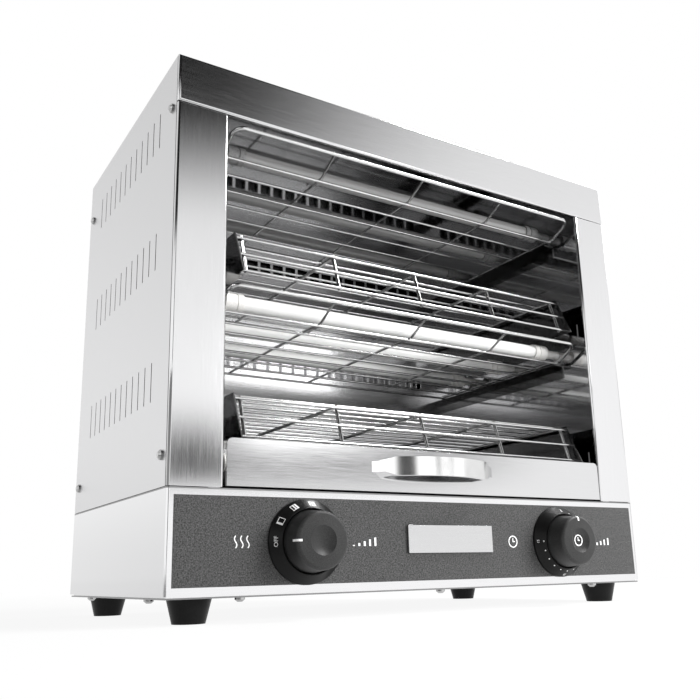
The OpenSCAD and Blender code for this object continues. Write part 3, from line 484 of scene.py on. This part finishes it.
def words(text, name, place, size, mat, body):
    """Printed characters, centred on place and turned to a mesh."""
    curve = bpy.data.curves.new(name, "FONT")
    curve.body = text
    curve.align_x = "CENTER"
    curve.align_y = "CENTER"
    curve.size = size * MM
    curve.extrude = 0.5 * PRINT_H
    curve.resolution_u = 3
    source = bpy.data.objects.new(name + "_source", curve)
    SCENE.collection.objects.link(source)
    bpy.context.view_layer.update()
    mesh = bpy.data.meshes.new_from_object(source.evaluated_get(bpy.context.evaluated_depsgraph_get()))
    bpy.data.objects.remove(source)
    mesh.transform(place)
    new_object(name, mesh, mat, body)


def heat_marks(mat):
    """OFF and three squares with one, two and three bars on the heat dial."""
    word_radius, word_size = 25.6, 4.2
    icon_radius, half, thin, thick = 25.7, 2.3, 0.4, 1.0
    words("OFF", "heat_off_mark", dial_place(HEAT, HEAT_OFF, word_radius), word_size, mat, "cabinet")
    square = [(-half, -half), (half, -half), (half, half), (-half, half)]
    bars = ((0,), (1, 2), (0, 1, 2))
    bm = bmesh.new()
    for step, filled in enumerate(bars, 1):
        place = dial_place(HEAT, HEAT_OFF + step * HEAT_STEP, icon_radius)
        add_line(bm, place, square, thin, closed=True)
        for bar in filled:
            x = (bar - 1) * (half - (thin + thick) / 2)
            add_line(bm, place, [(x, thin / 2 - half), (x, half - thin / 2)], thick)
    new_object("heat_scale", finish_mesh(bm, "heat_scale"), mat, "cabinet")


def timer_marks(mat):
    """A line at zero, a dot for each minute and a number for each fifth on the timer dial."""
    dots_radius, dot_r, line_radius, line_half, line_w = 24.2, 0.55, 25.6, 1.8, 0.8
    numbers_radius, number_size = 27, 3.0
    bm = bmesh.new()
    for minute in range(1, MINUTES + 1):
        place = dial_place(TIMER, minute * MINUTE, dots_radius)
        add_prism(bm, place, circle(dot_r, steps=16))
    add_line(bm, dial_place(TIMER, 0, line_radius), [(0, -line_half), (0, line_half)], line_w)
    new_object("timer_scale", finish_mesh(bm, "timer_scale"), mat, "cabinet")
    for minute in range(5, MINUTES + 1, 5):
        place = dial_place(TIMER, minute * MINUTE, numbers_radius)
        words(str(minute), f"timer_number_{minute}", place, number_size, mat, "cabinet")


def clock_face(bm, place, radius, width, rise=0.0):
    """A ring with two hands; rise lifts the ring by that share of its radius, as in a dimple."""
    long_hand, short_hand = 0.62 * radius, 0.45 * radius
    lifted = place @ Matrix.Translation((0, 0, radius * rise * MM))
    add_line(bm, lifted, circle(radius, steps=28), width, closed=True)
    add_line(bm, place, [(0, long_hand), (0, 0), (short_hand, 0)], width)


def knob_mark(mat):
    """A clock in the dimple of the timer's knob."""
    dimple = 3.3 * MM
    bm = bmesh.new()
    place = panel_place(TIMER.x, TIMER.z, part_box("timer_knob")[0].y + dimple)
    clock_face(bm, place, radius=4.2, width=0.9, rise=0.1)
    new_object("timer_sign", finish_mesh(bm, "timer_sign"), mat, "timer_knob")


def panel_marks(mat):
    """Plain signs on the overlay beside the knobs: warm air, rising bars and a clock."""
    centres = (-168, -72, 71, 174)
    heat, heat_rise, clock, timer_rise = (panel_place(x * MM, HEAT.z, OVERLAY_Y) for x in centres)
    wave_pitch, wave_h, wave_reach, wave_w, wave_steps = 4.4, 8, 0.9, 0.75, 12
    bar_pitch, bar_foot, bar_low, bar_step, bar_w = 4.6, -3, -2.2, 1.3, 1.6
    bm = bmesh.new()
    for i in range(3):
        x = (i - 1) * wave_pitch
        add_line(bm, heat, [
            (x + wave_reach * math.sin(t * math.tau / wave_steps), t * wave_h / wave_steps - wave_h / 2)
            for t in range(wave_steps + 1)
        ], wave_w)
    for place in (heat_rise, timer_rise):
        for i in range(5):
            x = (i - 2) * bar_pitch
            add_line(bm, place, [(x, bar_foot), (x, bar_low + bar_step * i)], bar_w)
    clock_face(bm, clock, radius=4.4, width=0.8)
    new_object("panel_signs", finish_mesh(bm, "panel_signs"), mat, "cabinet")


# Stage
def add_floor():
    """A pale floor, with a faint shadow near the object and plain white further out."""
    bpy.ops.mesh.primitive_plane_add(size=40, location=(0, 0, 0))
    floor = bpy.context.object
    floor.name = "floor"
    shader = Shader("floor")
    shader.set(roughness=0.9)
    shader.shades(shader.noise(3), grey(0.86), grey(0.9))
    place = shader.add("ShaderNodeTexCoord")
    radius = shader.add("ShaderNodeVectorMath", operation="LENGTH")
    shader.link(place.outputs["Object"], radius.inputs[0])
    share = shader.between(radius.outputs["Value"], low=0.9, high=1.0, start=0.45, end=1.4)
    path = shader.add("ShaderNodeLightPath").outputs
    seen = shader.product(shader.maths("MAXIMUM", path["Is Camera Ray"], path["Is Glossy Ray"]), share)

    # What metal mirrors: brighter in front, and dark in the front left corner
    axes = shader.axes("Object")
    corner = shader.product(
        shader.between(axes["X"], low=1.0, high=0.0, start=-0.35, end=-0.05),
        shader.between(axes["Y"], low=1.0, high=0.0, start=-0.2, end=0.1),
    )
    mirrored = shader.product(
        shader.between(axes["Y"], low=1.4, high=1.0, start=-0.3, end=0.3),
        shader.between(corner, low=1.0, high=0.2, start=0.0, end=1.0),
    )
    level = shader.add("ShaderNodeMapRange", from_min=0.0, from_max=1.0, to_min=1.0)
    shader.link(path["Is Glossy Ray"], level.inputs["Value"])
    shader.link(mirrored, level.inputs["To Max"])
    white = shader.add("ShaderNodeEmission", color=(1, 1, 1, 1))
    shader.link(level.outputs["Result"], white.inputs["Strength"])
    mix = shader.add("ShaderNodeMixShader")
    shader.link(seen, mix.inputs[0])
    shader.link(shader.bsdf.outputs[0], mix.inputs[1])
    shader.link(white.outputs[0], mix.inputs[2])
    shader.link(mix.outputs[0], shader.tree.nodes["Material Output"].inputs["Surface"])
    floor.data.materials.append(shader.mat)


def add_world():
    """A white studio. The camera sees plain white, and metal mirrors light and dark fields by direction."""
    world = bpy.data.worlds.new("studio")
    world.use_nodes = True
    SCENE.world = world
    world.node_tree.nodes.clear()
    nodes = Tree(world.node_tree)
    axes = nodes.axes("Generated")
    turn = nodes.maths("ARCTAN2", axes["X"], nodes.maths("MULTIPLY", axes["Y"], -1.0))

    def across(start, end, low=0.0, high=1.0):
        """From low to high between two angles, in degrees to the right of straight ahead."""
        return nodes.between(turn, low, high, math.radians(start), math.radians(end), "SMOOTHSTEP")

    def upward(start, end, low=0.0, high=1.0):
        """From low to high between two angles, in degrees above the horizon."""
        sines = [math.sin(math.radians(angle)) for angle in (start, end)]
        return nodes.between(axes["Z"], low, high, *sines, "SMOOTHSTEP")

    def field(level, left, right, bottom=None, top=None):
        """A level inside soft edges, each of which runs from one angle to another, and 0 outside."""
        edges = [across(*left), across(*right, low=1.0, high=0.0)]
        if bottom:
            edges.append(upward(*bottom))
        if top:
            edges.append(upward(*top, low=1.0, high=0.0))
        return nodes.product(*edges, level)

    # Dark fields: high in front, low in front with a taller left end, a strip at the left, the right side
    high_dark = field(0.98, left=(-110, -70), right=(22, 46), bottom=(24, 32.5))
    left_end = across(21, 25, low=1.0, high=0.0)
    depth = nodes.maths(
        "ADD",
        nodes.product(upward(8, 12.6, low=0.93, high=0.0), left_end),
        nodes.product(upward(8, 9.5, low=0.78, high=0.0), nodes.rest(left_end)),
    )
    band = field(depth, left=(15, 19), right=(37, 46), bottom=(6, 7))
    strip = field(0.95, left=(-29, -22), right=(-8, -2), bottom=(0, 2), top=(22, 30))
    aside = field(0.36, left=(50, 58), right=(125, 140), top=(10, 14))
    low_dark = nodes.maths("ADD", nodes.maths("ADD", band, strip), aside)

    # The room dims upwards and behind the object, and has one bright window low in front
    room = upward(8, 40, low=1.45, high=1.05)
    behind = nodes.between(axes["Y"], 0.0, 1.0, 0.2, 0.8, "SMOOTHSTEP")
    back_dark = nodes.product(behind, upward(0, 9, low=0.28, high=0.14))
    window = field(4.0, left=(23.5, 26), right=(31, 36), bottom=(9, 11), top=(16, 20))
    shade = nodes.product(room, nodes.rest(back_dark), nodes.rest(high_dark), nodes.rest(low_dark))
    shade = nodes.maths("ADD", shade, window)

    path = nodes.add("ShaderNodeLightPath").outputs
    seen = path["Is Camera Ray"]
    diffuse = 0.4
    shade = nodes.product(shade, nodes.between(path["Is Glossy Ray"], diffuse, 1.0, 0.0, 1.0, "SMOOTHSTEP"))
    studio = nodes.add("ShaderNodeBackground", color=(1, 1, 1, 1))
    nodes.link(nodes.maths("ADD", nodes.product(shade, nodes.rest(seen)), seen), studio.inputs["Strength"])
    output = nodes.add("ShaderNodeOutputWorld")
    nodes.link(studio.outputs[0], output.inputs["Surface"])


def softbox(name, azimuth, elevation, distance, size, power, mirrored=True):
    """A lamp aimed at the cabinet's front: azimuth to the right of straight ahead, elevation upwards."""
    turn, lift = math.radians(azimuth), math.radians(elevation)
    away = Vector((math.sin(turn) * math.cos(lift), -math.cos(turn) * math.cos(lift), math.sin(lift)))
    data = bpy.data.lights.new(name, "AREA")
    data.shape = "RECTANGLE"
    data.size, data.size_y = size
    data.energy = power
    lamp = bpy.data.objects.new(name, data)
    SCENE.collection.objects.link(lamp)
    lamp.visible_glossy = mirrored
    lamp.location = AIM + away * distance
    lamp.rotation_euler = (-away).to_track_quat("-Z", "Y").to_euler()


def add_lights():
    softbox("front_box", azimuth=42, elevation=12, distance=2.0, size=(0.9, 0.5), power=55, mirrored=False)
    softbox("right_box", azimuth=95, elevation=35, distance=2.0, size=(1.0, 0.8), power=6)
    softbox("top_box", azimuth=62, elevation=52, distance=1.8, size=(0.6, 0.4), power=28)


paint = moulded("white", grey(0.82), grey(0.9), rough=0.4, spread=0.1, scale=900, strength=0.05)
add_camera()
dress(make_steels() + make_platings() + make_mouldings(paint))
soften_edges(width=0.35 * MM, names=["tray_front", "badge_plate", "left_column", "right_column", "top_cover"])
heat_marks(paint.mat)
timer_marks(paint.mat)
knob_mark(paint.mat)
panel_marks(paint.mat)
add_floor()
add_world()
add_lights()
SCENE.view_settings.view_transform = "Standard"
